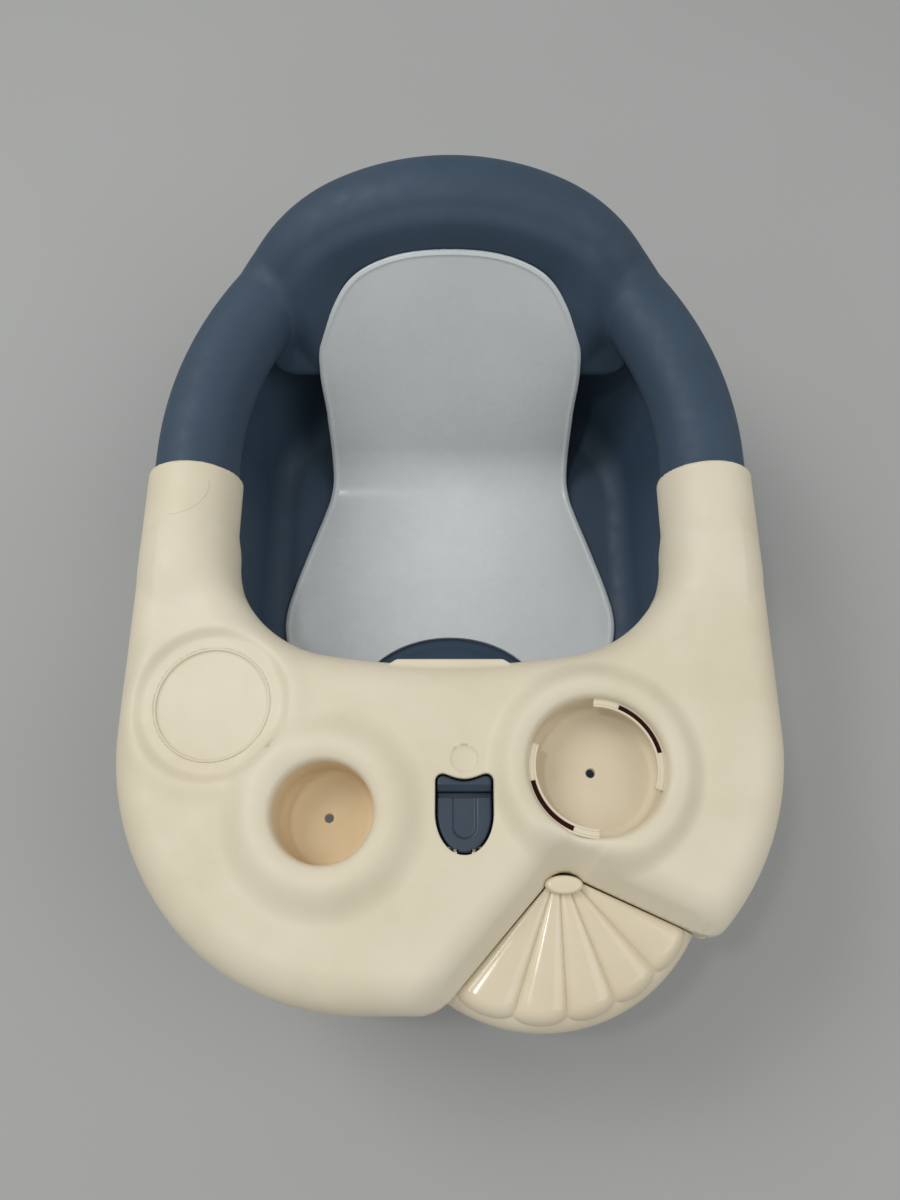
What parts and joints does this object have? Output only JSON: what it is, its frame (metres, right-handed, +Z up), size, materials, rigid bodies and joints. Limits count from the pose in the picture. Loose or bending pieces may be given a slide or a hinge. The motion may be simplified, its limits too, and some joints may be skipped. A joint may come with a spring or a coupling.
{
  "type": "baby bath seat",
  "caption": "Baby bath seat: a dark blue ring seat on suction cups with a grey liner, and a cream play tray that slides off once its latch is lifted.",
  "frame": {"origin": "on the surface the suction cups stand on, under the middle of the seat and tray together", "axes": "+Z up, +Y from the tray towards the backrest, +X to the right when the tray is seen from in front"},
  "size_m": [0.38, 0.524, 0.227],
  "materials": {
    "navy_plastic": "satin",
    "cream_plastic": "matte, fine texture",
    "cream_gloss": "gloss",
    "grey_liner": "gloss",
    "slate_plastic": "satin",
    "cup_rubber": "smooth, slightly see-through",
    "steel": "plain"
  },
  "bodies": {
    "seat": {"backrest": "navy_plastic", "seat_pan": "navy_plastic", "suction_cup_front_left": "cup_rubber", "suction_cup_front_right": "cup_rubber", "suction_cup_rear_left": "cup_rubber", "suction_cup_rear_right": "cup_rubber", "seat_liner": "grey_liner", "front_post": "navy_plastic", "latch_tongue": "navy_plastic", "post_screws": "steel", "back_screws": "steel", "tongue_screws": "steel"},
    "tray": {"tray": "cream_plastic", "fan_shell": "cream_gloss", "fan_screws": "steel", "latch_pin": "steel"},
    "latch": {"latch_lever": "slate_plastic", "latch_spring": "steel"}
  },
  "joints": [
    {"name": "tray_slide", "type": "slide", "parent": "seat", "child": "tray", "axis": [0, -1, 0], "range_m": [0, 0.12]},
    {"name": "latch_lift", "type": "hinge", "parent": "tray", "child": "latch", "pos_m": [0.0077, -0.1688, 0.1675], "axis": [1, 0, 0], "range_deg": [0, 22], "stiffness_Nm_per_rad": 0.02, "springref_deg": -11.46}
  ]
}
